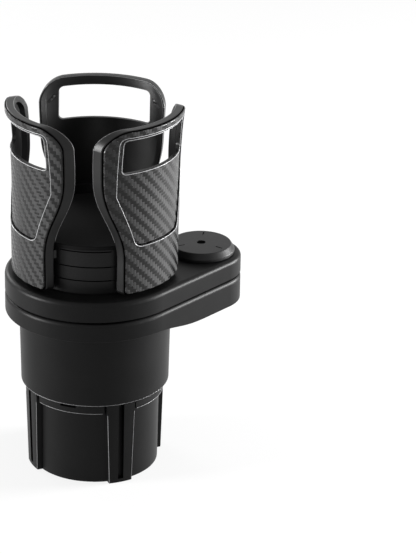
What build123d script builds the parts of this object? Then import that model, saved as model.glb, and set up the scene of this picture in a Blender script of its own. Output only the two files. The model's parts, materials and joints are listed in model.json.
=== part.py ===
from build123d import *
from math import acos, ceil, cos, floor, pi, radians, sin, sqrt, tan
import os

# Rotating car cup holder, in millimetres, +Z up.
# The cup axis is Z, the foot of the sleeve is at z = 0, and the pivot lies along +X.
# A lower cup stands in the car on a ribbed sleeve. An upper holder swings over it about
# the pivot, and its three jaws slide out together on racks round one pinion.

# Plan of the two plates
pivot_distance = 60.5
plate_radius = 47.0
pivot_end_radius = 21.2
plate_edge_round = 2.5
plate_foot_round = 0.5
skirt_wall = 2.2
plate_skin = 2.4
plate_rib = 1.6
plate_rib_rise = 1.5
cup_rib_count = 12
pivot_rib_count = 8
lower_plate_height = 10.5
upper_plate_height = 10.9
plate_gap = 0.5
pivot_end_drop = 4.3
drop_start = 11.0
drop_end = 52.0

# Base sleeve
sleeve_height = 47.0
sleeve_foot_radius = 33.3
sleeve_top_radius = 34.0
sleeve_wall = 2.0
sleeve_lip_width = 2.2
sleeve_lip_height = 2.0
band_radius = 36.2
band_height = 5.9
rib_count = 4
rib_foot_radius = 36.0
rib_top_radius = 37.1
rib_foot_width = 12.8
rib_top_width = 15.8
rib_groove_width = 3.0
rib_groove_depth = 2.4
rib_groove_foot = 2.2
rib_slit = 1.0
sleeve_round = 0.5
catch_width = 8.8
catch_height = 2.0
catch_drop = 0.8
catch_slack = 0.15
catch_reach = 0.9

# Lower cup
cup_edge_radius = 39.0
cup_top_radius = 39.9
exposed_wall_height = 40.0
mouth_radius = 36.8
well_radius = 36.0
rim_step_width = 1.4
rim_step_depth = 0.6
cup_floor = 2.4
spigot_wall = 2.0
spigot_clearance = 0.15
cup_fillet = 2.0
cup_foot_round = 0.6

# Pivot
post_radius = 8.0
post_clearance = 0.08
bearing_wall = 2.6
counterbore_radius = 12.5
counterbore_depth = 3.9
spring_inner_radius = 6.4
spring_outer_radius = 11.6
spring_thickness = 0.8
spring_cone = 1.3
seat_clearance = 0.05
washer_radius = 16.0
cap_foot_radius = 17.8
cap_top_radius = 15.8
cap_height = 4.4
cap_clearance = 0.3
cap_edge_height = 1.4
cap_edge_round = 0.6
cap_stub_radius = 5.6
cap_press_radius = 8.6
cap_dimple_radius = 2.4
cap_dimple_depth = 1.4
cap_mark_count = 3
cap_mark_length = 4.4
cap_mark_width = 0.8
cap_mark_depth = 0.5
cap_mark_circle = 11.6
cap_mark_turn = 60.0
pivot_screw_radius = 2.0
pivot_head_radius = 4.0
pivot_head_height = 2.4
pivot_head_slack = 0.3
pivot_seat_depth = 10.3
pivot_screw_length = 16.0
pivot_pilot_depth = 6.0

# Jaws
jaw_gap = 1.5
jaw_height = 90.0
jaw_foot_radius = 43.3
jaw_waist_radius = 43.8
jaw_waist_height = 50.0
jaw_top_radius = 46.2
jaw_thickness = 5.0
panel_thickness = 3.0
panel_foot = 29.6
panel_corner = 4.0
jaw_rim_width = 3.2
trim_thickness = 1.6
trim_proud = 0.8
trim_slack = 0.1
trim_seat = 0.05
trim_round = 0.4
jaw_foot_half = 22.8
jaw_half_width = 33.0
jaw_foot_corner = 2.0
neck_height = 17.6
neck_handle = 18.0
shoulder_half = 32.2
shoulder_height = 61.6
shoulder_handle = 20.0
jaw_corner = 11.3
jaw_crease = 4.0
jaw_round = 0.7
trim_margin = 0.6
window_half_width = 24.0
window_foot = 66.6
window_height = 17.8
window_corner = 2.5
window_round = 0.3
shield_half_width = 26.5
shield_shoulder = 54.6
shield_knee_half = 20.0
shield_knee = 36.0
shield_foot_half = 17.0
shield_foot = 26.2
shield_foot_corner = 5.0
shield_knee_round = 12.0
shield_shoulder_round = 3.0
shield_top_margin = 1.6
shield_corner = 3.5
shield_depth = 0.9
clip_height = 79.0
clip_offset = 27.3
clip_length = 5.0
clip_width = 1.5
clip_turn = 45.0
clip_slack = 0.1

touch = 0.01

# Rack arms
arm_width = 40.0
arm_thickness = 4.4
arm_slack = 0.15
arm_side_slack = 0.25
arm_end_slack = 0.5
travel = 30.0
stop_step = 1.0
stop_slack = 0.2
stop_lip = 2.2
slot_end_gap = 2.4
slot_clearance = 0.35

# Pinion and racks
module_size = 1.25
tooth_count = 6
pressure_angle = 30.0
addendum = 0.75 * module_size
dedendum = 0.95 * module_size
backlash = 0.35
journal_radius = 2.4
journal_slack = 0.06
journal_length = 1.5
pinion_hole_slack = 0.3

# Hub
hub_radius = 35.5
hub_wall = 1.8
tier_floor = 2.8
cover_thickness = 2.3
cover_slack = 0.2
tier_bevel = 0.35
mat_radius = 36.8
mat_thickness = 2.2
mat_round = 0.5

# Screws of the hub and the plates
screw_radius = 1.5
screw_head_radius = 2.8
screw_length = 8.0
screw_circle = 27.5
screw_slack = 0.06
pan_head_radius = 3.0
pan_head_height = 2.0
pan_length = 8.5
pan_spread = 8.5
recess_width = 0.8
recess_reach = 1.5
recess_depth = 0.8

# Closing plate under the upper plate
base_plate_thickness = 1.8
base_plate_slack = 0.2
base_plate_screw_circle = 38.0
base_plate_screw_angles = (50.0, 140.0, 220.0, 310.0)
boss_radius = 3.4

# Heights that follow
cup_edge_z = sleeve_height
lower_plate_z = cup_edge_z + exposed_wall_height
lower_plate_top = lower_plate_z + lower_plate_height
upper_plate_z = lower_plate_top + plate_gap
upper_plate_top = upper_plate_z + upper_plate_height
jaw_z = upper_plate_top + jaw_gap
jaw_top = jaw_z + jaw_height
channel_height = arm_thickness + 2 * arm_slack
tier_height = tier_floor + channel_height
spigot_z = sleeve_lip_height + seat_clearance
ledge_z = upper_plate_top - counterbore_depth
spring_z = ledge_z + seat_clearance
spring_top = spring_z + spring_cone + spring_thickness
post_top = ledge_z + seat_clearance
cap_z = upper_plate_top + cap_clearance
cap_top = cap_z + cap_height
pivot_end_z = lower_plate_z - pivot_end_drop
pivot_seat_z = pivot_end_z + plate_rib_rise + pivot_seat_depth

# Directions of the three jaws, and the level that each arm runs on, counted from the bottom
jaws = {"right": (-60.0, 0), "rear": (60.0, 1), "left": (180.0, 2)}
hub_top = upper_plate_top + len(jaws) * tier_height + cover_thickness

# Pinion, rack and slot sizes that follow
pitch_radius = module_size * tooth_count / 2
tip_radius = pitch_radius + addendum
root_radius = pitch_radius - dedendum
base_radius = pitch_radius * cos(radians(pressure_angle))
tooth_pitch = pi * module_size
tooth_half = (tooth_pitch - backlash) / 4
slot_far_side = tip_radius + slot_clearance
slot_near_side = pitch_radius + dedendum
hub_bore = hub_radius - hub_wall
arm_end_radius = hub_bore - arm_end_slack
stop_z_width = arm_width + 2 * stop_step
exit_reach = sqrt(hub_radius**2 - (stop_z_width / 2) ** 2)
lip_reach = exit_reach - stop_lip
arm_shoulder = lip_reach - stop_slack - travel
jaw_inner_foot = jaw_foot_radius - jaw_thickness
slot_end = jaw_inner_foot - slot_end_gap
wall_middle = jaw_foot_radius - (trim_thickness + jaw_thickness) / 2


def sleeve_radius_at(z):
    share = z / sleeve_height
    return sleeve_foot_radius + share * (sleeve_top_radius - sleeve_foot_radius)


def spigot_radius_at(z):
    return sleeve_radius_at(z) - sleeve_wall - spigot_clearance


def tier_z(level):
    return upper_plate_top + level * tier_height


def radial_plane(angle, out=0.0):
    """Upright plane facing outwards: x runs sideways and y runs up from z = 0."""
    a = radians(angle)
    outward = Vector(cos(a), sin(a), 0)
    return Plane(origin=outward * out, x_dir=(-sin(a), cos(a), 0), z_dir=outward)


def level_plane(angle, z):
    """Level plane at height z whose x runs outwards in the given direction."""
    a = radians(angle)
    return Plane(origin=(0, 0, z), x_dir=(cos(a), sin(a), 0), z_dir=(0, 0, 1))


def teardrop(inset):
    """Plan of a plate: a large circle round the cup axis and a small one round the pivot."""
    with BuildSketch() as outline:
        Circle(plate_radius - inset)
        with Locations((pivot_distance, 0)):
            Circle(pivot_end_radius - inset)
        make_hull()
    return outline.sketch


def rib_lines(cup_ribs, pivot_ribs):
    """Plan of the straight ribs inside a skirt, in rays from the cup axis and from the pivot."""
    reach = pivot_distance + plate_radius
    with BuildSketch() as ribs:
        with PolarLocations(0, cup_ribs):
            Rectangle(reach, plate_rib, align=(Align.MIN, Align.CENTER))
        with Locations((pivot_distance, 0)):
            with PolarLocations(0, pivot_ribs):
                Rectangle(pivot_distance - cup_top_radius, plate_rib, align=(Align.MIN, Align.CENTER))
        add(teardrop(skirt_wall / 2), mode=Mode.INTERSECT)
    return ribs.sketch


plate_outline = teardrop(0)
plate_inside = teardrop(skirt_wall)
base_plate_outline = teardrop(skirt_wall + base_plate_slack)
plate_ribs = rib_lines(cup_rib_count, pivot_rib_count)

os.makedirs("parts", exist_ok=True)


def save(piece, name):
    piece.part.label = name
    export_step(piece.part, f"parts/{name}.step")


# Base sleeve: a tapered tube with a foot lip, four grooved ribs and a banded rim with catch slots
sleeve_bore_foot = sleeve_radius_at(0) - sleeve_wall
sleeve_bore_top = sleeve_radius_at(sleeve_height) - sleeve_wall
band_foot = sleeve_height - band_height
rib_angles = [360 * i / rib_count for i in range(rib_count)]
catch_angles = [angle + 180 / rib_count for angle in rib_angles]
catch_z = sleeve_height - catch_drop - catch_height / 2

with BuildPart() as base_sleeve:
    for angle in rib_angles:
        with BuildSketch(radial_plane(angle)):
            Polygon(
                (-rib_foot_width / 2, 0),
                (rib_foot_width / 2, 0),
                (rib_top_width / 2, sleeve_height),
                (-rib_top_width / 2, sleeve_height),
                align=None,
            )
        extrude(amount=2 * rib_top_radius)
    with BuildSketch(Plane.XZ):
        Polygon((0, 0), (rib_foot_radius, 0), (rib_top_radius, sleeve_height), (0, sleeve_height), align=None)
    revolve(axis=Axis.Z, mode=Mode.INTERSECT)
    fillet(base_sleeve.edges().group_by(Axis.Z)[0], sleeve_round)
    with BuildSketch(Plane.XZ) as tube:
        Polygon(
            (0, 0),
            (sleeve_foot_radius, 0),
            (sleeve_radius_at(band_foot), band_foot),
            (band_radius, band_foot),
            (band_radius, sleeve_height),
            (0, sleeve_height),
            align=None,
        )
        outer_corners = tube.vertices().filter_by(lambda v: v.X >= band_radius or v.X == sleeve_foot_radius)
        fillet(outer_corners, sleeve_round)
    revolve(axis=Axis.Z)
    for angle in rib_angles:
        with BuildSketch(radial_plane(angle, rib_foot_radius - rib_groove_depth)):
            with Locations((0, rib_groove_foot)):
                Rectangle(rib_groove_width, sleeve_height, align=(Align.CENTER, Align.MIN))
        extrude(amount=2 * rib_groove_depth, mode=Mode.SUBTRACT)
    slit_offset = (rib_top_width + rib_slit) / 2
    for angle in rib_angles:
        with BuildSketch(radial_plane(angle, sleeve_top_radius - sleeve_wall / 2)):
            with Locations((slit_offset, band_foot), (-slit_offset, band_foot)):
                Rectangle(rib_slit, band_height, align=(Align.CENTER, Align.MIN))
        extrude(amount=band_radius, mode=Mode.SUBTRACT)
    for angle in catch_angles:
        with BuildSketch(radial_plane(angle)):
            with Locations((0, catch_z)):
                Rectangle(catch_width, catch_height)
        extrude(amount=2 * band_radius, mode=Mode.SUBTRACT)
    with BuildSketch(Plane.XZ):
        Polygon(
            (0, 0),
            (sleeve_bore_foot - sleeve_lip_width, 0),
            (sleeve_bore_foot - sleeve_lip_width, sleeve_lip_height),
            (sleeve_bore_foot, sleeve_lip_height),
            (sleeve_bore_top, sleeve_height),
            (0, sleeve_height),
            align=None,
        )
    revolve(axis=Axis.Z, mode=Mode.SUBTRACT)
save(base_sleeve, "base_sleeve")

def under_flange(rise):
    """Space under the lower cup's flange, whose edge sinks towards the pivot, moved up by a distance."""
    reach = pivot_distance + plate_radius
    middle = (drop_start + drop_end) / 2
    high = lower_plate_z + rise
    low = pivot_end_z + rise
    with BuildSketch(Plane.XZ) as side:
        with BuildLine():
            level = Line((-reach, high), (drop_start, high))
            sink = Bezier(level @ 1, (middle, high), (middle, low), (drop_end, low))
            run = Line(sink @ 1, (reach, low))
            Polyline(run @ 1, (reach, 0), (-reach, 0), level @ 0)
        make_face()
    return extrude(side.sketch, amount=2 * plate_radius, both=True, mode=Mode.PRIVATE)


# Lower cup: cup, spigot, ribbed teardrop flange and pivot post in one moulding
well_floor = cup_edge_z + cup_floor
flange_height = lower_plate_top - pivot_end_z

with BuildPart() as flange_ribs:
    with BuildSketch(Plane.XY.offset(pivot_end_z)):
        add(plate_ribs)
        with Locations((pivot_distance, 0)):
            Circle(post_radius)
    extrude(amount=flange_height - plate_skin / 2)
    add(under_flange(plate_rib_rise), mode=Mode.SUBTRACT)

with BuildPart() as lower_cup:
    with BuildSketch(Plane.XY.offset(pivot_end_z)):
        add(plate_outline)
    extrude(amount=flange_height)
    add(under_flange(0), mode=Mode.SUBTRACT)
    flange_edge = lower_cup.edges().filter_by(lambda edge: edge.center().Z < lower_plate_z + plate_foot_round)
    fillet(flange_edge, plate_foot_round)
    fillet(lower_cup.edges().group_by(Axis.Z)[-1], plate_edge_round)
    with BuildSketch(Plane.XY.offset(pivot_end_z)):
        add(plate_inside)
    extrude(amount=flange_height - plate_skin, mode=Mode.SUBTRACT)
    add(flange_ribs.part)
    with BuildSketch(Plane.XY.offset(lower_plate_top)):
        with Locations((pivot_distance, 0)):
            Circle(post_radius)
    extrude(amount=post_top - lower_plate_top)
    with BuildSketch(Plane.XZ) as wall:
        Polygon(
            (0, spigot_z),
            (spigot_radius_at(spigot_z), spigot_z),
            (spigot_radius_at(cup_edge_z), cup_edge_z),
            (cup_edge_radius, cup_edge_z),
            (cup_top_radius, lower_plate_top - plate_skin / 2),
            (0, lower_plate_top - plate_skin / 2),
            align=None,
        )
        fillet(wall.vertices().filter_by(lambda v: v.X == cup_edge_radius), cup_foot_round)
    revolve(axis=Axis.Z)
    with BuildSketch(Plane.XZ) as cavity:
        Polygon(
            (0, spigot_z + cup_floor),
            (spigot_radius_at(spigot_z) - spigot_wall, spigot_z + cup_floor),
            (spigot_radius_at(cup_edge_z) - spigot_wall, well_floor),
            (well_radius, well_floor),
            (mouth_radius, lower_plate_top),
            (0, lower_plate_top),
            align=None,
        )
        corners = cavity.vertices().filter_by(lambda v: v.X > cup_fillet and v.Y < lower_plate_top - cup_fillet)
        fillet(corners, cup_fillet)
    revolve(axis=Axis.Z, mode=Mode.SUBTRACT)
    with BuildSketch(Plane.XY.offset(lower_plate_top)):
        Circle(mouth_radius + rim_step_width)
    extrude(amount=-rim_step_depth, mode=Mode.SUBTRACT)
    for angle in catch_angles:
        with BuildSketch(radial_plane(angle, spigot_radius_at(catch_z) - spigot_wall / 2)):
            with Locations((0, catch_z)):
                Rectangle(catch_width - 2 * catch_slack, catch_height - 2 * catch_slack)
        extrude(amount=spigot_wall / 2 + spigot_clearance + catch_reach)
    with Locations((pivot_distance, 0, post_top)):
        Hole(pivot_screw_radius + screw_slack, depth=post_top - pivot_end_z)
    with BuildSketch(Plane.XY.offset(pivot_end_z)):
        with Locations((pivot_distance, 0)):
            Circle(pivot_head_radius + pivot_head_slack)
    extrude(amount=pivot_seat_z - pivot_end_z, mode=Mode.SUBTRACT)
save(lower_cup, "lower_cup")

# Washer between the two plates
with BuildPart() as friction_washer:
    with BuildSketch(Plane.XY.offset(lower_plate_top)):
        with Locations((pivot_distance, 0)):
            Circle(washer_radius)
            Circle(post_radius + post_clearance, mode=Mode.SUBTRACT)
    extrude(amount=plate_gap - seat_clearance)
save(friction_washer, "friction_washer")

# Disc spring that presses the two plates together
with BuildPart() as disc_spring:
    with BuildSketch(Plane.XZ):
        Polygon(
            (pivot_distance + spring_outer_radius, spring_z),
            (pivot_distance + spring_outer_radius, spring_z + spring_thickness),
            (pivot_distance + spring_inner_radius, spring_top),
            (pivot_distance + spring_inner_radius, spring_top - spring_thickness),
            align=None,
        )
    revolve(axis=Axis((pivot_distance, 0, 0), (0, 0, 1)))
save(disc_spring, "disc_spring")

# Pivot cap: bevelled disc with a stub that stands on the post
with BuildPart() as pivot_cap:
    with BuildSketch(Plane.XZ) as cap_section:
        Polygon(
            (pivot_distance, post_top),
            (pivot_distance + cap_stub_radius, post_top),
            (pivot_distance + cap_stub_radius, spring_top + seat_clearance),
            (pivot_distance + cap_press_radius, spring_top + seat_clearance),
            (pivot_distance + cap_press_radius, cap_z),
            (pivot_distance + cap_foot_radius, cap_z),
            (pivot_distance + cap_foot_radius, cap_z + cap_edge_height),
            (pivot_distance + cap_top_radius, cap_top),
            (pivot_distance, cap_top),
            align=None,
        )
        rim = cap_section.vertices().filter_by(lambda v: v.X > pivot_distance + cap_press_radius and v.Y > cap_z)
        fillet(rim, cap_edge_round)
    revolve(axis=Axis((pivot_distance, 0, 0), (0, 0, 1)))
    with BuildSketch(Plane.XY.offset(cap_top)):
        with Locations((pivot_distance, 0)):
            Circle(cap_dimple_radius)
    extrude(amount=-cap_dimple_depth, mode=Mode.SUBTRACT)
    with BuildSketch(Plane.XY.offset(cap_top)):
        with Locations((pivot_distance, 0)):
            with PolarLocations(cap_mark_circle, cap_mark_count, start_angle=cap_mark_turn):
                SlotOverall(cap_mark_length, cap_mark_width)
    extrude(amount=-cap_mark_depth, mode=Mode.SUBTRACT)
    with BuildSketch(Plane.XY.offset(post_top)):
        with Locations((pivot_distance, 0)):
            Circle(pivot_screw_radius + screw_slack)
    extrude(amount=pivot_pilot_depth, mode=Mode.SUBTRACT)
save(pivot_cap, "pivot_cap")


def cross_recess():
    """Draws the cross of a screw's recess in the open sketch."""
    Rectangle(2 * recess_reach, recess_width)
    Rectangle(recess_width, 2 * recess_reach)


# Pivot screw, driven up from under the lower plate
with BuildPart() as pivot_screw:
    with BuildSketch(Plane.XY.offset(pivot_seat_z)):
        with Locations((pivot_distance, 0)):
            Circle(pivot_screw_radius)
    extrude(amount=pivot_screw_length)
    with BuildSketch(Plane.XY.offset(pivot_seat_z - pivot_head_height)):
        with Locations((pivot_distance, 0)):
            Circle(pivot_head_radius)
    extrude(amount=pivot_head_height)
    fillet(pivot_screw.edges().group_by(Axis.Z)[0], pivot_head_height / 3)
    with BuildSketch(Plane.XY.offset(pivot_seat_z - pivot_head_height)):
        with Locations((pivot_distance, 0)):
            cross_recess()
    extrude(amount=recess_depth, mode=Mode.SUBTRACT)
save(pivot_screw, "pivot_screw")


def flat_screw_sites(level):
    """Places of the two countersunk screws that hold the tier above to the tier on this level."""
    arm_angle = [angle for angle, arm_level in jaws.values() if arm_level == level][0]
    sites = []
    for side in (-1, 1):
        a = radians(arm_angle + side * 90)
        sites.append((screw_circle * cos(a), screw_circle * sin(a)))
    return sites


def pan_screw_sites():
    """Places of the four screws that hold the lowest tier to the upper plate."""
    arm_angle = [angle for angle, arm_level in jaws.values() if arm_level == 0][0]
    a = radians(arm_angle)
    sites = []
    for side in (-1, 1):
        for along in (-1, 1):
            u = along * pan_spread
            v = side * screw_circle
            sites.append((u * cos(a) - v * sin(a), u * sin(a) + v * cos(a)))
    return sites


base_plate_sites = [
    (base_plate_screw_circle * cos(radians(a)), base_plate_screw_circle * sin(radians(a)))
    for a in base_plate_screw_angles
]
base_plate_top = upper_plate_z + base_plate_thickness
bearing_radius = post_radius + post_clearance
upper_skin_z = upper_plate_top - plate_skin

# Upper plate: skirted teardrop with the pivot bearing, ribs and screw bosses inside
with BuildPart() as upper_plate:
    with BuildSketch(Plane.XY.offset(upper_plate_z)):
        add(plate_outline)
    extrude(amount=upper_plate_height)
    fillet(upper_plate.edges().group_by(Axis.Z)[-1], plate_edge_round)
    fillet(upper_plate.edges().group_by(Axis.Z)[0], plate_foot_round)
    with BuildSketch(Plane.XY.offset(upper_plate_z)):
        add(plate_inside)
    extrude(amount=upper_plate_height - plate_skin, mode=Mode.SUBTRACT)
    with BuildSketch(Plane.XY.offset(base_plate_top + seat_clearance)):
        add(plate_ribs)
        with Locations(base_plate_sites):
            Circle(boss_radius)
        with Locations(pan_screw_sites()):
            Circle(2 * pan_head_radius, mode=Mode.SUBTRACT)
    extrude(amount=upper_skin_z + plate_skin / 2 - base_plate_top - seat_clearance)
    with BuildSketch(Plane.XY.offset(upper_plate_z)):
        with Locations((pivot_distance, 0)):
            Circle(counterbore_radius + bearing_wall)
    extrude(amount=upper_plate_height - plate_skin / 2)
    with BuildSketch(Plane.XY.offset(upper_plate_z)):
        with Locations((pivot_distance, 0)):
            Circle(bearing_radius)
    extrude(amount=upper_plate_height, mode=Mode.SUBTRACT)
    with BuildSketch(Plane.XY.offset(ledge_z)):
        with Locations((pivot_distance, 0)):
            Circle(counterbore_radius)
    extrude(amount=counterbore_depth, mode=Mode.SUBTRACT)
    with BuildSketch(Plane.XY.offset(upper_skin_z)):
        with Locations(pan_screw_sites()):
            Circle(screw_radius + screw_slack)
    extrude(amount=plate_skin, mode=Mode.SUBTRACT)
    with BuildSketch(Plane.XY.offset(base_plate_top)):
        with Locations(base_plate_sites):
            Circle(screw_radius + screw_slack)
    extrude(amount=screw_length - base_plate_thickness, mode=Mode.SUBTRACT)
save(upper_plate, "upper_plate")

# Base plate: closes the underside of the upper plate
with BuildPart() as base_plate:
    with BuildSketch(Plane.XY.offset(upper_plate_z)):
        add(base_plate_outline)
        with Locations((pivot_distance, 0)):
            Circle(counterbore_radius + bearing_wall + base_plate_slack, mode=Mode.SUBTRACT)
    extrude(amount=base_plate_thickness)
    with Locations([Location((x, y, upper_plate_z), (180, 0, 0)) for x, y in base_plate_sites]):
        CounterSinkHole(screw_radius + screw_slack, screw_head_radius + screw_slack, depth=base_plate_thickness)
save(base_plate, "base_plate")


def flat_screw(x, y, z, up):
    """One countersunk screw whose head face is at height z, driven up where up is true."""
    way = 1 if up else -1
    head_plane = Plane(origin=(x, y, z), z_dir=(0, 0, way))
    with BuildPart() as screw:
        with BuildSketch(head_plane):
            Circle(screw_radius)
        extrude(amount=screw_length)
        with BuildSketch(head_plane):
            Circle(screw_head_radius)
        extrude(amount=screw_head_radius - screw_radius, taper=45)
        with BuildSketch(head_plane):
            cross_recess()
        extrude(amount=recess_depth, mode=Mode.SUBTRACT)
    return screw.part


with BuildPart() as base_plate_screws:
    for x, y in base_plate_sites:
        add(flat_screw(x, y, upper_plate_z, True))
save(base_plate_screws, "base_plate_screws")

with BuildPart() as hub_screws:
    for level in range(1, len(jaws)):
        for x, y in flat_screw_sites(level - 1):
            add(flat_screw(x, y, tier_z(level) + tier_floor, False))
    for x, y in flat_screw_sites(len(jaws) - 1):
        add(flat_screw(x, y, hub_top, False))
save(hub_screws, "hub_screws")

with BuildPart() as plate_screws:
    with BuildSketch(Plane.XY.offset(upper_skin_z)):
        with Locations(pan_screw_sites()):
            Circle(screw_radius)
    extrude(amount=pan_length)
    with BuildSketch(Plane.XY.offset(upper_skin_z - pan_head_height)):
        with Locations(pan_screw_sites()):
            Circle(pan_head_radius)
    extrude(amount=pan_head_height)
    fillet(plate_screws.edges().group_by(Axis.Z)[0], pan_head_height / 3)
    with BuildSketch(Plane.XY.offset(upper_skin_z - pan_head_height)):
        with Locations(pan_screw_sites()):
            cross_recess()
    extrude(amount=recess_depth, mode=Mode.SUBTRACT)
save(plate_screws, "plate_screws")


def build_tier(angle, level):
    """One storey of the hub, with the channel of one arm cut across it."""
    z = tier_z(level)
    is_top = level == len(jaws) - 1
    height = tier_height + (cover_thickness if is_top else 0)
    with BuildPart() as tier:
        with BuildSketch(Plane.XY.offset(z)):
            Circle(hub_radius)
        extrude(amount=height)
        chamfer(tier.edges().filter_by(GeomType.CIRCLE), tier_bevel)
        with BuildSketch(level_plane(angle, z + tier_floor)):
            with Locations((lip_reach, 0)):
                wide = stop_z_width + 2 * arm_side_slack
                Rectangle(lip_reach + hub_radius, wide, align=(Align.MAX, Align.CENTER))
            Circle(hub_bore, mode=Mode.INTERSECT)
            Rectangle(2 * hub_radius, arm_width + 2 * arm_side_slack, align=(Align.MIN, Align.CENTER))
        extrude(amount=channel_height, mode=Mode.SUBTRACT)
        if is_top:
            with BuildSketch(Plane.XY.offset(z + tier_height)):
                Circle(hub_bore)
            extrude(amount=cover_thickness, mode=Mode.SUBTRACT)
        if level == 0:
            with BuildSketch(Plane.XY.offset(z + tier_floor)):
                Circle(journal_radius + journal_slack)
            extrude(amount=-journal_length - seat_clearance, mode=Mode.SUBTRACT)
            with BuildSketch(Plane.XY.offset(z)):
                with Locations(pan_screw_sites()):
                    Circle(screw_radius + screw_slack)
            extrude(amount=pan_length - plate_skin + seat_clearance, mode=Mode.SUBTRACT)
        else:
            with BuildSketch(Plane.XY.offset(z)):
                Circle(tip_radius + pinion_hole_slack)
            extrude(amount=tier_floor, mode=Mode.SUBTRACT)
            with Locations([(x, y, z + tier_floor) for x, y in flat_screw_sites(level - 1)]):
                CounterSinkHole(screw_radius + screw_slack, screw_head_radius + screw_slack, depth=tier_floor)
        pilot = screw_length - (cover_thickness if is_top else tier_floor)
        with BuildSketch(Plane.XY.offset(z + tier_height)):
            with Locations(flat_screw_sites(level)):
                Circle(screw_radius + screw_slack)
        extrude(amount=-pilot - seat_clearance, mode=Mode.SUBTRACT)
    return tier


tier_names = ("hub_lower", "hub_middle", "hub_upper")
for jaw_angle, jaw_level in jaws.values():
    save(build_tier(jaw_angle, jaw_level), tier_names[jaw_level])

# Hub cover: sits inside the rim of the top tier and closes its channel
cover_z = tier_z(len(jaws))
with BuildPart() as hub_cover:
    with BuildSketch(Plane.XY.offset(cover_z)):
        Circle(hub_bore - cover_slack)
    extrude(amount=cover_thickness)
    with BuildSketch(Plane.XY.offset(cover_z)):
        Circle(journal_radius + journal_slack)
    extrude(amount=journal_length + seat_clearance, mode=Mode.SUBTRACT)
    with Locations([(x, y, hub_top) for x, y in flat_screw_sites(len(jaws) - 1)]):
        CounterSinkHole(screw_radius + screw_slack, screw_head_radius + screw_slack, depth=cover_thickness)
save(hub_cover, "hub_cover")

# Non-slip mat on top of the hub
with BuildPart() as cup_mat:
    with BuildSketch(Plane.XY.offset(hub_top)):
        Circle(mat_radius)
    extrude(amount=mat_thickness)
    fillet(cup_mat.edges().filter_by(GeomType.CIRCLE), mat_round)
save(cup_mat, "cup_mat")


def involute_turn(radius):
    """Involute function at a radius of the pinion, in radians."""
    roll = acos(min(1, base_radius / radius))
    return tan(roll) - roll


def flank_point(radius, side):
    """Point of a tooth flank at a radius, for a tooth centred on x; side is 1 or -1."""
    half = tooth_half / pitch_radius + involute_turn(pitch_radius) - involute_turn(radius)
    return (radius * cos(half), side * radius * sin(half))


# Pinion: six involute teeth along its whole length, with a journal at each end
pinion_z = tier_z(0) + tier_floor + arm_slack
pinion_length = cover_z - arm_slack - pinion_z
with BuildPart() as pinion:
    with BuildSketch(Plane.XY.offset(pinion_z)):
        Circle(root_radius)
        with BuildSketch(mode=Mode.PRIVATE) as tooth:
            with BuildLine():
                middle = (base_radius + tip_radius) / 2
                low = ThreePointArc(flank_point(base_radius, -1), flank_point(middle, -1), flank_point(tip_radius, -1))
                high = ThreePointArc(flank_point(base_radius, 1), flank_point(middle, 1), flank_point(tip_radius, 1))
                Line(low @ 1, high @ 1)
                Polyline(low @ 0, (0, 0), high @ 0)
            make_face()
        with PolarLocations(0, tooth_count):
            add(tooth.sketch)
    extrude(amount=pinion_length)
    with BuildSketch(Plane.XY.offset(pinion_z - arm_slack - journal_length)):
        Circle(journal_radius)
    extrude(amount=pinion_length + 2 * (arm_slack + journal_length))
save(pinion, "pinion")


def jaw_wall(outer_inset, inner_inset):
    """Section of a layer of the jaw wall, between two insets from its outer face."""
    waist_z = jaw_z + jaw_waist_height
    with BuildSketch(Plane.XZ) as section:
        with BuildLine():
            outer = Line((jaw_foot_radius - outer_inset, jaw_z), (jaw_waist_radius - outer_inset, waist_z))
            outer_flare = TangentArc(outer @ 1, (jaw_top_radius - outer_inset, jaw_top), tangent=outer % 1)
            inner = Line((jaw_foot_radius - inner_inset, jaw_z), (jaw_waist_radius - inner_inset, waist_z))
            inner_flare = TangentArc(inner @ 1, (jaw_top_radius - inner_inset, jaw_top), tangent=inner % 1)
            Line(outer @ 0, inner @ 0)
            Line(outer_flare @ 1, inner_flare @ 1)
        make_face()
    return section.sketch


def jaw_outline(inset):
    """Front view of a jaw: narrow foot, S-curved shoulders, and a faint crease under each top corner."""
    foot = Vector(jaw_foot_half - inset, jaw_z + inset)
    neck = Vector(foot.X, jaw_z + neck_height)
    shoulder = Vector(shoulder_half - inset, jaw_z + shoulder_height)
    crease_angle = radians(jaw_crease)
    radius = jaw_corner - inset
    middle = Vector(jaw_half_width - jaw_corner * cos(crease_angle), jaw_top - jaw_corner)
    crease = middle + Vector(cos(crease_angle), sin(crease_angle)) * radius
    lean = (crease - shoulder).normalized()
    with BuildSketch() as outline:
        with BuildLine():
            Polyline((0, foot.Y), foot, neck)
            Bezier(neck, neck + Vector(0, neck_handle), shoulder - lean * shoulder_handle, shoulder)
            Line(shoulder, crease)
            corner = RadiusArc(crease, middle + Vector(0, radius), -radius)
            Line(corner @ 1, (0, jaw_top - inset))
            mirror(about=Plane.YZ)
        make_face()
        feet = outline.vertices().group_by(Axis.Y)[0]
        fillet(feet, jaw_foot_corner)
    return outline.sketch


def panel_outline():
    """Front view of the thin panel inside a jaw's rim."""
    with BuildSketch() as outline:
        add(jaw_outline(jaw_rim_width))
        with Locations((0, jaw_z + panel_foot)):
            Rectangle(2 * jaw_half_width, jaw_height, align=(Align.CENTER, Align.MIN), mode=Mode.INTERSECT)
        fillet(outline.vertices().group_by(Axis.Y)[0], panel_corner)
    return outline.sketch


def window_outline():
    """Grip window near the top of a jaw."""
    with BuildSketch() as outline:
        with Locations((0, jaw_z + window_foot)):
            Rectangle(2 * window_half_width, window_height, align=(Align.CENTER, Align.MIN))
        fillet(outline.vertices(), window_corner)
    return outline.sketch


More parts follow.
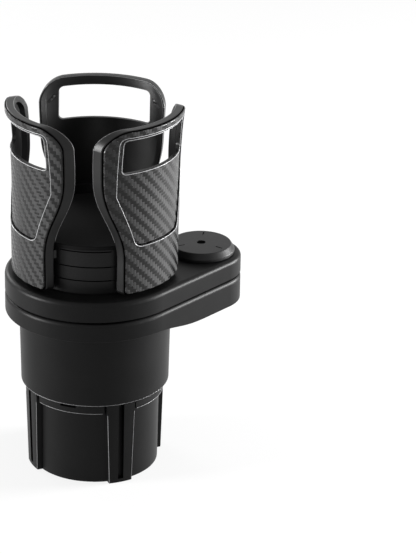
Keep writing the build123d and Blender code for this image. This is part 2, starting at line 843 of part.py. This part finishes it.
def shield_outline():
    """Shield-shaped recess of the trim, which also holds the window."""
    top = jaw_z + window_foot + window_height + shield_top_margin
    with BuildSketch() as outline:
        with BuildLine():
            Polyline(
                (0, jaw_z + shield_foot),
                (shield_foot_half, jaw_z + shield_foot),
                (shield_knee_half, jaw_z + shield_knee),
                (shield_half_width, jaw_z + shield_shoulder),
                (shield_half_width, top),
                (0, top),
            )
            mirror(about=Plane.YZ)
        make_face()
        rounds = (shield_foot_corner, shield_knee_round, shield_shoulder_round, shield_corner)
        for row in reversed(range(len(rounds))):
            fillet(outline.vertices().group_by(Axis.Y)[row], rounds[row])
    return outline.sketch


def clip_outline(slack):
    """The two slanted clips that hold the trim, seen from the front."""
    with BuildSketch() as outline:
        for side in (-1, 1):
            place = Location((side * clip_offset, jaw_z + clip_height), -side * clip_turn)
            with Locations(place):
                SlotOverall(clip_length + 2 * slack, clip_width + 2 * slack)
    return outline.sketch


def jaw_layer(angle, outer_inset, inner_inset, outline):
    """Layer of the jaw wall cut to an outline seen from the front of the jaw."""
    with BuildPart() as layer:
        revolve(jaw_wall(outer_inset, inner_inset), axis=Axis.Z)
        with BuildSketch(radial_plane(angle)):
            add(outline)
        extrude(amount=2 * jaw_top_radius, mode=Mode.INTERSECT)
    return layer


def curved_walls(piece):
    """Faces of a jaw piece that run round the cup axis, inside and outside."""
    return piece.faces().filter_by(lambda face: face.geom_type in (GeomType.CONE, GeomType.TORUS))


def outer_walls(piece):
    """Curved walls that face away from the cup axis."""
    return [wall for wall in curved_walls(piece) if wall.normal_at().dot(wall.position_at(0.5, 0.5)) > 0]


def rims(faces):
    """Edges round a group of faces, without the edges between them."""
    edges = [edge for face in faces for edge in face.edges()]
    return [edge for edge in edges if sum(edge.is_same(other) for other in edges) == 1]


def lies_on(edge, angle, outline):
    """Whether an edge lies on an outline seen from the front of a jaw."""
    place = radial_plane(angle).to_local_coords(edge @ 0.5)
    return outline.distance_to(Vertex(place.X, place.Y, 0)) < touch


def cut_through(angle, outline):
    """Cuts an outline, seen from the front of a jaw, through the open part."""
    with BuildSketch(radial_plane(angle)) as cut:
        add(outline)
    extrude(cut.sketch, amount=2 * jaw_top_radius, mode=Mode.SUBTRACT)


def rack_tooth(u):
    """Tooth of the rack centred at distance u along the arm, pointing at the pinion."""
    slope = tan(radians(pressure_angle))
    tip_half = tooth_half - addendum * slope
    foot_half = tooth_half + dedendum * slope
    Polygon(
        (u - foot_half, slot_near_side),
        (u - tip_half, pitch_radius - addendum),
        (u + tip_half, pitch_radius - addendum),
        (u + foot_half, slot_near_side),
        align=None,
    )


def arm_plan():
    """Plan of a rack arm that points along x, with its jaw wall round the origin."""
    with BuildSketch() as bounds:
        Circle(wall_middle)
        with Locations((arm_shoulder, 0)):
            Rectangle(2 * wall_middle, 2 * wall_middle, align=(Align.MAX, Align.CENTER), mode=Mode.SUBTRACT)
        Circle(arm_end_radius)
    with BuildSketch() as plan:
        Rectangle(2 * wall_middle, arm_width)
        with Locations((arm_shoulder, 0)):
            Rectangle(wall_middle, stop_z_width, align=(Align.MAX, Align.CENTER))
        slot_width = slot_near_side + slot_far_side
        with Locations((slot_end, (slot_near_side - slot_far_side) / 2)):
            Rectangle(2 * wall_middle, slot_width, align=(Align.MAX, Align.CENTER), mode=Mode.SUBTRACT)
        first = ceil(-arm_end_radius / tooth_pitch)
        last = floor((slot_end - tooth_pitch / 2) / tooth_pitch)
        for step in range(first, last + 1):
            rack_tooth(step * tooth_pitch)
        add(bounds.sketch, mode=Mode.INTERSECT)
    return plan.sketch


arm_shape = arm_plan()
shell_outline = jaw_outline(0)
panel_shape = panel_outline()
pocket_outline = jaw_outline(trim_margin)
trim_outline = jaw_outline(trim_margin + trim_slack)
window_shape = window_outline()
shield_shape = shield_outline()


def build_jaw(angle, level):
    """Jaw shell with a thick rim round its thin panel, and its rack arm, in one moulding."""
    pocket = jaw_layer(angle, -trim_proud, trim_thickness + trim_seat, pocket_outline)
    hollow = jaw_layer(angle, panel_thickness, jaw_thickness + jaw_round, panel_shape)
    with BuildPart() as jaw:
        add(jaw_layer(angle, trim_proud, jaw_thickness, shell_outline).part)
        fillet(rims(curved_walls(jaw)), jaw_round)
        add(pocket.part, mode=Mode.SUBTRACT)
        add(hollow.part, mode=Mode.SUBTRACT)
        with BuildSketch(level_plane(angle, tier_z(level) + tier_floor + arm_slack)):
            add(arm_shape)
        extrude(amount=arm_thickness)
        cut_through(angle, window_shape)
        cut_through(angle, clip_outline(clip_slack))
    return jaw


def build_trim(angle):
    """Patterned trim of a jaw, with its shield recess and the clips that reach through the shell."""
    recess = jaw_layer(angle, -trim_proud, shield_depth, shield_shape)
    clips = jaw_layer(angle, trim_thickness / 2, panel_thickness - clip_slack, clip_outline(0))
    with BuildPart() as trim:
        add(jaw_layer(angle, 0, trim_thickness, trim_outline).part)
        add(recess.part, mode=Mode.SUBTRACT)
        fronts = ShapeList(outer_walls(trim)).sort_by(Axis.Z)
        fillet(rims([fronts[0], fronts[-1]]), trim_round)
        add(clips.part)
        cut_through(angle, window_shape)
        window_rims = [edge for edge in rims(outer_walls(trim)) if lies_on(edge, angle, window_shape)]
        fillet(window_rims, window_round)
    return trim


for jaw_name, (jaw_angle, jaw_level) in jaws.items():
    save(build_jaw(jaw_angle, jaw_level), f"jaw_{jaw_name}")
    save(build_trim(jaw_angle), f"trim_{jaw_name}")
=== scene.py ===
import json
import math

import bpy
from mathutils import Matrix, Vector
from mathutils.bvhtree import BVHTree


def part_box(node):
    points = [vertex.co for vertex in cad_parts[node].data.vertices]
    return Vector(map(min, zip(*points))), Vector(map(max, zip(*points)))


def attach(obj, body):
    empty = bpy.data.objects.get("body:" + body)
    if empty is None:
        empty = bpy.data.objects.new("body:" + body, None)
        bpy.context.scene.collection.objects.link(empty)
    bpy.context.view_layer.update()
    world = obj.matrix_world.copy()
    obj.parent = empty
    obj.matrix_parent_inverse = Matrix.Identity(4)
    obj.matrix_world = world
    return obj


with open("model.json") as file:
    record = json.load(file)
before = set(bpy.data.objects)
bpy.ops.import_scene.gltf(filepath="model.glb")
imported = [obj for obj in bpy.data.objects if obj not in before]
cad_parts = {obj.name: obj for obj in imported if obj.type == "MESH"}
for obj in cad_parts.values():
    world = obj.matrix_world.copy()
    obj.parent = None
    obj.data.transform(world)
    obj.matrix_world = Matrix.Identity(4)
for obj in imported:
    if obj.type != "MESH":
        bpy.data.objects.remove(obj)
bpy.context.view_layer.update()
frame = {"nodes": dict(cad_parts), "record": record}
nodes = frame["nodes"]
slots = {entry["node"]: entry["material_slot"] for entry in frame["record"]["subparts"]}

# Photograph, in pixels of its own frame
photo_height = 554
focal_length_px = 2782.2
axis_left_of_centre_px = 113

# Camera, in metres and degrees
target = Vector((0, 0, 0.1))
camera_azimuth = -22.0
camera_elevation = 23.77
camera_distance = 1.456
camera_pitch = 0.12
sensor_height = 24.0

# Softboxes: name, place and size in metres, power in watts
softboxes = (
    ("left", (-1.05, 0.2, 0.2), (0.3, 0.36), 20.0),
    ("right", (1.02, -0.2, 0.2), (0.4, 0.36), 34.0),
    ("back", (-0.3, 1.0, 0.45), (0.5, 0.3), 4.0),
)

# Floor and sky: both show brighter to the camera than they light the object
floor_size = 12
floor_grey = 0.9
floor_roughness = 0.9
floor_glow = 0.8
sky_light = 0.35
sky_seen = 1.0

# Mottling and grain of moulded plastic
mottle_scale = 60.0
mottle_detail = 4.0
mottle_spread = 0.05
grain_detail = 3.0
grain_strength = 0.5

# Grain of the beads: scale and depth
bead_grain = (1400.0, 0.00001)

# Clouds and scratches of zinc plate
cloud_scale = 300.0
cloud_detail = 3.0
cloud_spread = 0.08
scratch_detail = 2.0
scratch_strength = 0.4
scratch_depth = 0.00001

# Twill of the trims, in metres: the warp is on top for the first two tows of each repeat
tows_around = 160
tow_radius = 0.0438
tow_width = 2 * math.pi * tow_radius / tows_around
tow_relief = 0.0001
tow_strength = 0.6
twill_repeat = 4.0
last_warp_phase = 1.5

# Jaws, seen from the front, in metres: half widths from their middle, heights over their foot
jaw_angles = {"right": -60.0, "rear": 60.0, "left": 180.0}
jaw_height = 0.09
jaw_foot_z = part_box("jaw_left")[1][2] - jaw_height
jaw_foot_half = 0.0228
jaw_foot_corner = 0.002
neck_height = 0.0176
neck_handle = 0.018
shoulder_half = 0.0322
shoulder_height = 0.0616
shoulder_handle = 0.02
jaw_half_width = 0.033
jaw_corner = 0.0113
jaw_crease = math.radians(4.0)

# Right halves of the shield and the window, from the foot up: half width, height and corner radius
shield_corners = (
    (0.017, 0.0262, 0.005),
    (0.02, 0.036, 0.012),
    (0.0265, 0.0546, 0.003),
    (0.0265, 0.086, 0.0035),
)
window_corners = (
    (0.024, 0.0666, 0.0025),
    (0.024, 0.0844, 0.0025),
)

# Beads of painted highlight and painted shadow on the jaws, in metres: a lip widens an outline of the trim,
# or narrows it where it is negative, and an inset narrows the outline of the jaw
shield_lip = 0.0003
window_lip = 0.0004
# Painted highlight beads on the edges of the shields and windows have this radius
shield_highlight_radius = 0.00018
# Painted shadow beads in the groove of the shield and in the gap round the trim
groove_lip = -0.0004
groove_radius = 0.00028
gap_inset = 0.00055
gap_radius = 0.00038
# Painted highlight beads along the rims of the jaws
crest_inset = 0.00022
crest_foot = 0.027
crest_radius = 0.00015

# Beads of painted highlight on the lower body, in metres: the ends of a rib's edge are a half width and a
# height each
rib_angles = (0.0, 90.0, 180.0, 270.0)
rib_edge_foot = (0.00625, 0.0008)
rib_edge_top = (0.0075, 0.0405)
band_edge_z = 0.04125
band_from_rib = 45.0
band_half_turn = math.radians(30.0)
cup_edge_z = 0.0472

# Beads of painted shadow on the upper body, in metres: those of the hub lie halfway between the jaws
plate_gap_rise = 0.00002
plate_gap_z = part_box("upper_plate")[0][2] + plate_gap_rise
plate_gap_radius = 0.00031
tier_drops = {"hub_lower": 0.0001, "hub_middle": 0.0001, "hub_upper": 0.0014}
tier_middles = (0.0, 120.0, 240.0)
tier_half_turn = math.radians(22.0)
tier_gap_radius = 0.0003

# Fineness of beads and curves
bead_sides = 6
bead_step = 0.0008
corner_steps = 6
curve_steps = 24

# Rays from outside start this far from the cup's axis, in metres, which is beyond the whole part
ray_start = 0.1


def add_camera():
    """Camera at the photograph's viewing angle, turned right so that the cup stands left of centre."""
    data = bpy.data.cameras.new("camera")
    data.sensor_fit = "VERTICAL"
    data.sensor_height = sensor_height
    data.lens = sensor_height * focal_length_px / photo_height
    camera = bpy.data.objects.new("camera", data)
    bpy.context.scene.collection.objects.link(camera)
    azimuth = math.radians(camera_azimuth)
    elevation = math.radians(camera_elevation)
    back = Vector((
        math.sin(azimuth) * math.cos(elevation),
        -math.cos(azimuth) * math.cos(elevation),
        math.sin(elevation),
    ))
    pan = math.atan(axis_left_of_centre_px / focal_length_px)
    aim = (-back).to_track_quat("-Z", "Y").to_matrix().to_4x4()
    turn = Matrix.Rotation(math.radians(camera_pitch), 4, "X") @ Matrix.Rotation(-pan, 4, "Y")
    camera.matrix_world = Matrix.Translation(target + back * camera_distance) @ aim @ turn
    bpy.context.scene.camera = camera


def shader(name):
    """New material, its node tree and its Principled shader."""
    material = bpy.data.materials.new(name)
    material.use_nodes = True
    return material, material.node_tree, material.node_tree.nodes["Principled BSDF"]


def add_node(tree, kind, **settings):
    """New node with its settings."""
    node = tree.nodes.new(kind)
    for key, value in settings.items():
        setattr(node, key, value)
    return node


def math_node(tree, operation, a, b=None):
    """Result of a math node whose inputs are sockets or numbers."""
    node = add_node(tree, "ShaderNodeMath", operation=operation)
    for socket, value in zip(node.inputs, (a, b)):
        if value is None:
            continue
        if isinstance(value, (int, float)):
            socket.default_value = value
        else:
            tree.links.new(value, socket)
    return node.outputs[0]


def bump(tree, principled, height, strength, distance):
    """Relief on a shader, from a height between 0 and 1."""
    node = add_node(tree, "ShaderNodeBump")
    node.inputs["Strength"].default_value = strength
    node.inputs["Distance"].default_value = distance
    tree.links.new(height, node.inputs["Height"])
    tree.links.new(node.outputs["Normal"], principled.inputs["Normal"])


def noise(tree, coordinates, scale, detail):
    """Noise between 0 and 1."""
    node = add_node(tree, "ShaderNodeTexNoise")
    node.inputs["Scale"].default_value = scale
    node.inputs["Detail"].default_value = detail
    tree.links.new(coordinates, node.inputs["Vector"])
    return node.outputs["Fac"]


def map_range(tree, value, low, high):
    """Value from 0 to 1 spread between low and high."""
    node = add_node(tree, "ShaderNodeMapRange")
    node.inputs["To Min"].default_value = low
    node.inputs["To Max"].default_value = high
    tree.links.new(value, node.inputs["Value"])
    return node.outputs["Result"]


def mix_colours(tree, factor, a, b):
    """Colour a where the factor is 0 and colour b where it is 1."""
    node = add_node(tree, "ShaderNodeMix", data_type="RGBA")
    node.inputs["A"].default_value = (*a, 1)
    node.inputs["B"].default_value = (*b, 1)
    tree.links.new(factor, node.inputs["Factor"])
    return node.outputs["Result"]


def seen_rays(tree):
    """1 where the camera sees a surface, directly, in a reflection or through glass, and 0 elsewhere."""
    rays = add_node(tree, "ShaderNodeLightPath").outputs
    seen = math_node(tree, "MAXIMUM", rays["Is Camera Ray"], rays["Is Glossy Ray"])
    return math_node(tree, "MAXIMUM", seen, rays["Is Transmission Ray"])


def mottle(tree, principled, cloud, dark, light, roughness, spread):
    """Colour and roughness of a shader, both varied by one cloud."""
    tree.links.new(mix_colours(tree, cloud, dark, light), principled.inputs["Base Color"])
    rough = map_range(tree, cloud, roughness - spread, roughness + spread)
    tree.links.new(rough, principled.inputs["Roughness"])


def plastic(name, dark, light, roughness, specular, grain_scale, grain_depth):
    """Moulded plastic: mottled colour and roughness with a fine eroded grain."""
    material, tree, principled = shader(name)
    place = add_node(tree, "ShaderNodeTexCoord").outputs["Object"]
    cloud = noise(tree, place, mottle_scale, mottle_detail)
    mottle(tree, principled, cloud, dark, light, roughness, mottle_spread)
    principled.inputs["Specular IOR Level"].default_value = specular
    bump(tree, principled, noise(tree, place, grain_scale, grain_detail), grain_strength, grain_depth)
    return material


def metal(name, dark, light, roughness, scratch_scale):
    """Zinc plated steel: bright metal with cloudy passivation and fine scratches."""
    material, tree, principled = shader(name)
    place = add_node(tree, "ShaderNodeTexCoord").outputs["Object"]
    cloud = noise(tree, place, cloud_scale, cloud_detail)
    mottle(tree, principled, cloud, dark, light, roughness, cloud_spread)
    principled.inputs["Metallic"].default_value = 1.0
    bump(tree, principled, noise(tree, place, scratch_scale, scratch_detail), scratch_strength, scratch_depth)
    return material


def tow_height(tree, cells):
    """Rounded profile across a tow, from 0 at its edges to 1 in its middle."""
    across = math_node(tree, "SUBTRACT", math_node(tree, "FRACT", cells), 0.5)
    square = math_node(tree, "MULTIPLY", across, across)
    return math_node(tree, "SUBTRACT", 1.0, math_node(tree, "MULTIPLY", square, 4.0))


def twill(name, warp_colour, weft_colour, warp_roughness, weft_roughness, specular):
    """Carbon fibre pattern: a two-by-two twill wrapped round the cup axis."""
    material, tree, principled = shader(name)
    place = add_node(tree, "ShaderNodeTexCoord").outputs["Object"]
    split = add_node(tree, "ShaderNodeSeparateXYZ")
    tree.links.new(place, split.inputs[0])
    turn = math_node(tree, "ARCTAN2", split.outputs["Y"], split.outputs["X"])
    around = math_node(tree, "MULTIPLY", turn, tows_around / (2 * math.pi))
    upward = math_node(tree, "DIVIDE", split.outputs["Z"], tow_width)
    step = math_node(tree, "ADD", math_node(tree, "FLOOR", around), math_node(tree, "FLOOR", upward))
    phase = math_node(tree, "FLOORED_MODULO", step, twill_repeat)
    warp_on_top = math_node(tree, "LESS_THAN", phase, last_warp_phase)
    height = add_node(tree, "ShaderNodeMix", data_type="FLOAT")
    tree.links.new(warp_on_top, height.inputs["Factor"])
    tree.links.new(tow_height(tree, upward), height.inputs["A"])
    tree.links.new(tow_height(tree, around), height.inputs["B"])
    colour = mix_colours(tree, warp_on_top, weft_colour, warp_colour)
    tree.links.new(colour, principled.inputs["Base Color"])
    rough = map_range(tree, warp_on_top, weft_roughness, warp_roughness)
    tree.links.new(rough, principled.inputs["Roughness"])
    principled.inputs["Specular IOR Level"].default_value = specular
    bump(tree, principled, height.outputs["Result"], tow_strength, tow_relief)
    return material


def grey(level):
    """Grey with a trace of blue."""
    return (level, level, level * 1.02)


def dress_nodes():
    """Material of each CAD node. The hub gets a lighter copy of the black plastic, with painted light in its
    colour.
    """
    # Plastics: darkest and lightest colour, roughness, specular level, grain scale and grain depth
    materials = {
        "black_plastic": plastic("satin_black", grey(0.002), grey(0.0035), 0.42, 0.11, 1400.0, 0.00003),
        "jaw_plastic": plastic("jaw_black", grey(0.003), grey(0.005), 0.34, 0.24, 1600.0, 0.00002),
        "cap_plastic": plastic("cap_black", grey(0.008), grey(0.011), 0.42, 0.18, 1200.0, 0.00004),
        "carbon_trim": twill("carbon", grey(0.016), grey(0.001), 0.62, 0.26, 0.3),
        "mat_rubber": plastic("mat_rubber", grey(0.002), grey(0.003), 0.75, 0.08, 900.0, 0.00005),
        "acetal": plastic("acetal", (0.6, 0.58, 0.52), (0.68, 0.66, 0.6), 0.4, 0.5, 900.0, 0.00001),
        "steel": metal("steel", (0.42, 0.42, 0.43), (0.6, 0.6, 0.61), 0.35, 2000.0),
    }
    # Painted light: the hub's colour is lighter than the black plastic to stand in for how it is lit
    hub_lit_copy = plastic("hub_black_lit_copy", grey(0.004), grey(0.006), 0.4, 0.15, 1400.0, 0.00003)
    for name, node in nodes.items():
        node.data.materials.clear()
        node.data.materials.append(hub_lit_copy if name.startswith("hub_") else materials[slots[name]])


def curve(steps, *handles):
    """Points of the Bezier curve with these handles, of any number."""
    points = []
    for step in range(steps + 1):
        row = list(handles)
        while len(row) > 1:
            row = [row[i].lerp(row[i + 1], step / steps) for i in range(len(row) - 1)]
        points.append(row[0])
    return points


def both_halves(half):
    """Whole outline from its right half, which runs from the foot to the top."""
    return half + [Vector((-point.x, point.y)) for point in reversed(half)]


def jaw_outline(inset):
    """Outline of a jaw, seen from the front, set in from its edge."""
    x = jaw_foot_half - inset
    foot = [
        Vector((x - jaw_foot_corner, inset)),
        Vector((x, inset)),
        Vector((x, inset + jaw_foot_corner)),
    ]
    middle = Vector((jaw_half_width - jaw_corner * math.cos(jaw_crease), jaw_height - jaw_corner))
    corner = []
    for step in range(curve_steps + 1):
        turn = jaw_crease + (math.pi / 2 - jaw_crease) * step / curve_steps
        corner.append(middle + Vector((math.cos(turn), math.sin(turn))) * (jaw_corner - inset))
    neck = Vector((x, neck_height))
    shoulder = Vector((shoulder_half - inset, shoulder_height))
    lean = (corner[0] - shoulder).normalized() * shoulder_handle
    waist = [neck, neck + Vector((0, neck_handle)), shoulder - lean, shoulder]
    return both_halves(curve(curve_steps, *foot) + curve(curve_steps, *waist) + corner)


def rounded_loop(corners, lip):
    """Closed outline of both halves, widened by the lip, with a curve at each corner."""
    foot = min(corner[1] for corner in corners)
    top = max(corner[1] for corner in corners)
    shifts = {foot: -lip, top: lip}
    half = [(Vector((x + lip, z + shifts.get(z, 0.0))), radius) for x, z, radius in corners]
    ring = half + [(Vector((-point.x, point.y)), radius) for point, radius in reversed(half)]
    loop = []
    for index, (corner, radius) in enumerate(ring):
        back = (ring[index - 1][0] - corner).normalized()
        ahead = (ring[(index + 1) % len(ring)][0] - corner).normalized()
        half_angle = back.angle(ahead) / 2
        start = corner + back * radius / math.tan(half_angle)
        end = corner + ahead * radius / math.tan(half_angle)
        loop += curve(corner_steps, start, corner, end)
    return loop


def spaced(outline, closed):
    """Points of an outline with the gaps between them filled at the bead's step."""
    points = []
    ends = outline[1:] + outline[:1] if closed else outline[1:]
    for start, end in zip(outline, ends):
        parts = max(1, round((end - start).length / bead_step))
        points += [start.lerp(end, part / parts) for part in range(parts)]
    return points


def front_rays(degrees, outline, foot, inside=False):
    """Parallel rays through an upright outline, with its foot at a height, from outside or from the axis."""
    angle = math.radians(degrees)
    outward = Vector((math.cos(angle), math.sin(angle), 0))
    sideways = Vector((-math.sin(angle), math.cos(angle), 0))
    start = outward * (0 if inside else ray_start) + Vector((0, 0, foot))
    direction = outward if inside else -outward
    return [(start + sideways * point.x + Vector((0, 0, point.y)), direction) for point in outline]


def ring_rays(z, degrees, half_turn):
    """Level rays towards the axis, spread to both sides of a direction."""
    steps = round(half_turn * ray_start / bead_step)
    rays = []
    for step in range(-steps, steps):
        turn = math.radians(degrees) + half_turn * step / steps
        outward = Vector((math.cos(turn), math.sin(turn), 0))
        rays.append((outward * ray_start + Vector((0, 0, z)), -outward))
    return rays


def lay_on(node, rays):
    """Places and normals where rays meet a node."""
    mesh = node.data
    surface = BVHTree.FromPolygons([v.co for v in mesh.vertices], [p.vertices for p in mesh.polygons])
    hits = [surface.ray_cast(*ray)[:2] for ray in rays]
    return [hit for hit in hits if hit[0]]


def bead_mesh(hits, radius, closed, verts, faces):
    """Thin round bead, half sunk in the face that it follows, added to the lists of a mesh."""
    first = len(verts)
    count = len(hits)
    for index, (place, normal) in enumerate(hits):
        ahead = (index + 1) % count if closed else min(index + 1, count - 1)
        back = index - 1 if closed else max(index - 1, 0)
        along = (hits[ahead][0] - hits[back][0]).normalized()
        across = along.cross(normal).normalized()
        for side in range(bead_sides):
            turn = 2 * math.pi * side / bead_sides
            verts.append(place + (across * math.cos(turn) + normal * math.sin(turn)) * radius)
    if not closed:
        faces.append([first + side for side in reversed(range(bead_sides))])
        faces.append([first + (count - 1) * bead_sides + side for side in range(bead_sides)])
    for ring in range(count if closed else count - 1):
        here = first + ring * bead_sides
        after = first + (ring + 1) % count * bead_sides
        for side in range(bead_sides):
            beside = (side + 1) % bead_sides
            faces.append((here + side, here + beside, after + beside, after + side))


def add_bead(name, node, runs, radius, material, closed, body):
    """Piece made of one bead for each run of rays, laid on a node."""
    verts = []
    faces = []
    for rays in runs:
        bead_mesh(lay_on(node, rays), radius, closed, verts, faces)
    mesh = bpy.data.meshes.new(name)
    mesh.from_pydata(verts, [], faces)
    for polygon in mesh.polygons:
        polygon.use_smooth = True
    mesh.materials.append(material)
    piece = bpy.data.objects.new(name, mesh)
    bpy.context.scene.collection.objects.link(piece)
    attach(piece, body)


def add_jaw_beads(shield_highlight, edge_highlight, shadow):
    """Painted highlights along the edges of each shield, window and rim, and painted shadows in the groove in
    the shield and the gap round the trim.
    """
    loops = (
        ("shield_edge", "trim", rounded_loop(shield_corners, shield_lip), shield_highlight_radius, shield_highlight),
        ("window_edge", "trim", rounded_loop(window_corners, window_lip), shield_highlight_radius, shield_highlight),
        ("shield_groove", "trim", rounded_loop(shield_corners, groove_lip), groove_radius, shadow),
        ("trim_gap", "jaw", jaw_outline(gap_inset), gap_radius, shadow),
    )
    rim = [point for point in jaw_outline(crest_inset) if point.y > crest_foot]
    for jaw, degrees in jaw_angles.items():
        body = jaw + "_jaw"
        for name, carrier, outline, radius, material in loops:
            rays = front_rays(degrees, spaced(outline, True), jaw_foot_z)
            add_bead(f"{name}_{jaw}", nodes[f"{carrier}_{jaw}"], [rays], radius, material, True, body)
        rays = front_rays(degrees, spaced(rim, False), jaw_foot_z, inside=True)
        add_bead(f"painted_edge_highlight_{jaw}", nodes[f"jaw_{jaw}"], [rays], crest_radius, edge_highlight, False, body)


def add_sleeve_beads(edge_highlight):
    """Painted highlights along the edges of the sleeve's ribs and of its band between them."""
    runs = []
    for degrees in rib_angles:
        for side in (-1, 1):
            edge = [Vector((side * x, z)) for x, z in (rib_edge_foot, rib_edge_top)]
            runs.append(front_rays(degrees, spaced(edge, False) + edge[1:], 0))
        runs.append(ring_rays(band_edge_z, degrees + band_from_rib, band_half_turn))
    add_bead("sleeve_edges", nodes["base_sleeve"], runs, crest_radius, edge_highlight, False, "lower_body")


def add_cup_bead(edge_highlight):
    """Painted highlight along the lower edge of the cup."""
    runs = [ring_rays(cup_edge_z, 0, math.pi)]
    add_bead("cup_edge", nodes["lower_cup"], runs, crest_radius, edge_highlight, True, "lower_body")


def add_upper_beads(shadow):
    """Painted shadows in the gap under the upper plate, in the joints of the hub's storeys and under the
    hub's rim.
    """
    runs = [ring_rays(plate_gap_z, 0, math.pi)]
    add_bead("plate_gap", nodes["upper_plate"], runs, plate_gap_radius, shadow, True, "upper_body")
    for tier, drop in tier_drops.items():
        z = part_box(tier)[1][2] - drop
        runs = [ring_rays(z, degrees, tier_half_turn) for degrees in tier_middles]
        add_bead(tier + "_gap", nodes[tier], runs, tier_gap_radius, shadow, False, "upper_body")


def add_beads():
    """Painted highlights and painted shadows: bright and dark lines along edges and gaps of the CAD nodes."""
    # Painted highlight: light grey beads along the edges of the shields and windows
    shield_highlight = plastic("painted_shield_highlight", grey(0.3), grey(0.4), 0.3, 0.5, *bead_grain)
    # Painted highlight: grey beads along the rims of the jaws and the edges of the sleeve and cup
    edge_highlight = plastic("painted_edge_highlight", grey(0.14), grey(0.2), 0.3, 0.5, *bead_grain)
    # Painted shadow: black beads in the gaps, grooves and joints
    shadow = plastic("painted_gap_shadow", grey(0.0005), grey(0.001), 0.9, 0.0, *bead_grain)
    add_jaw_beads(shield_highlight, edge_highlight, shadow)
    add_sleeve_beads(edge_highlight)
    add_upper_beads(shadow)
    add_cup_bead(edge_highlight)


def add_floor():
    """Pale floor that shows white to the camera and keeps a soft shadow."""
    bpy.ops.mesh.primitive_plane_add(size=floor_size)
    floor = bpy.context.object
    floor.name = "floor"
    material, tree, principled = shader("floor")
    principled.inputs["Base Color"].default_value = (floor_grey, floor_grey, floor_grey, 1)
    principled.inputs["Roughness"].default_value = floor_roughness
    principled.inputs["Specular IOR Level"].default_value = 0.0
    glow = add_node(tree, "ShaderNodeEmission")
    glow.inputs["Color"].default_value = (1, 1, 1, 1)
    mix = add_node(tree, "ShaderNodeMixShader")
    tree.links.new(math_node(tree, "MULTIPLY", seen_rays(tree), floor_glow), mix.inputs[0])
    tree.links.new(principled.outputs[0], mix.inputs[1])
    tree.links.new(glow.outputs[0], mix.inputs[2])
    tree.links.new(mix.outputs[0], tree.nodes["Material Output"].inputs["Surface"])
    floor.data.materials.append(material)


def add_world():
    """Even sky that shows white to the camera and lights the object softly."""
    world = bpy.data.worlds.new("studio")
    world.use_nodes = True
    tree = world.node_tree
    background = tree.nodes["Background"]
    background.inputs["Color"].default_value = (1, 1, 1, 1)
    tree.links.new(map_range(tree, seen_rays(tree), sky_light, sky_seen), background.inputs["Strength"])
    bpy.context.scene.world = world


def add_softbox(name, place, size, power):
    """Area lamp that looks at the middle of the object."""
    data = bpy.data.lights.new(name, "AREA")
    data.shape = "RECTANGLE"
    data.size, data.size_y = size
    data.energy = power
    lamp = bpy.data.objects.new(name, data)
    bpy.context.scene.collection.objects.link(lamp)
    lamp.location = place
    lamp.rotation_euler = (target - Vector(place)).to_track_quat("-Z", "Y").to_euler()


dress_nodes()
add_beads()
add_floor()
add_world()
for softbox in softboxes:
    add_softbox(*softbox)
add_camera()

scene = bpy.context.scene
scene.view_settings.view_transform = "Standard"
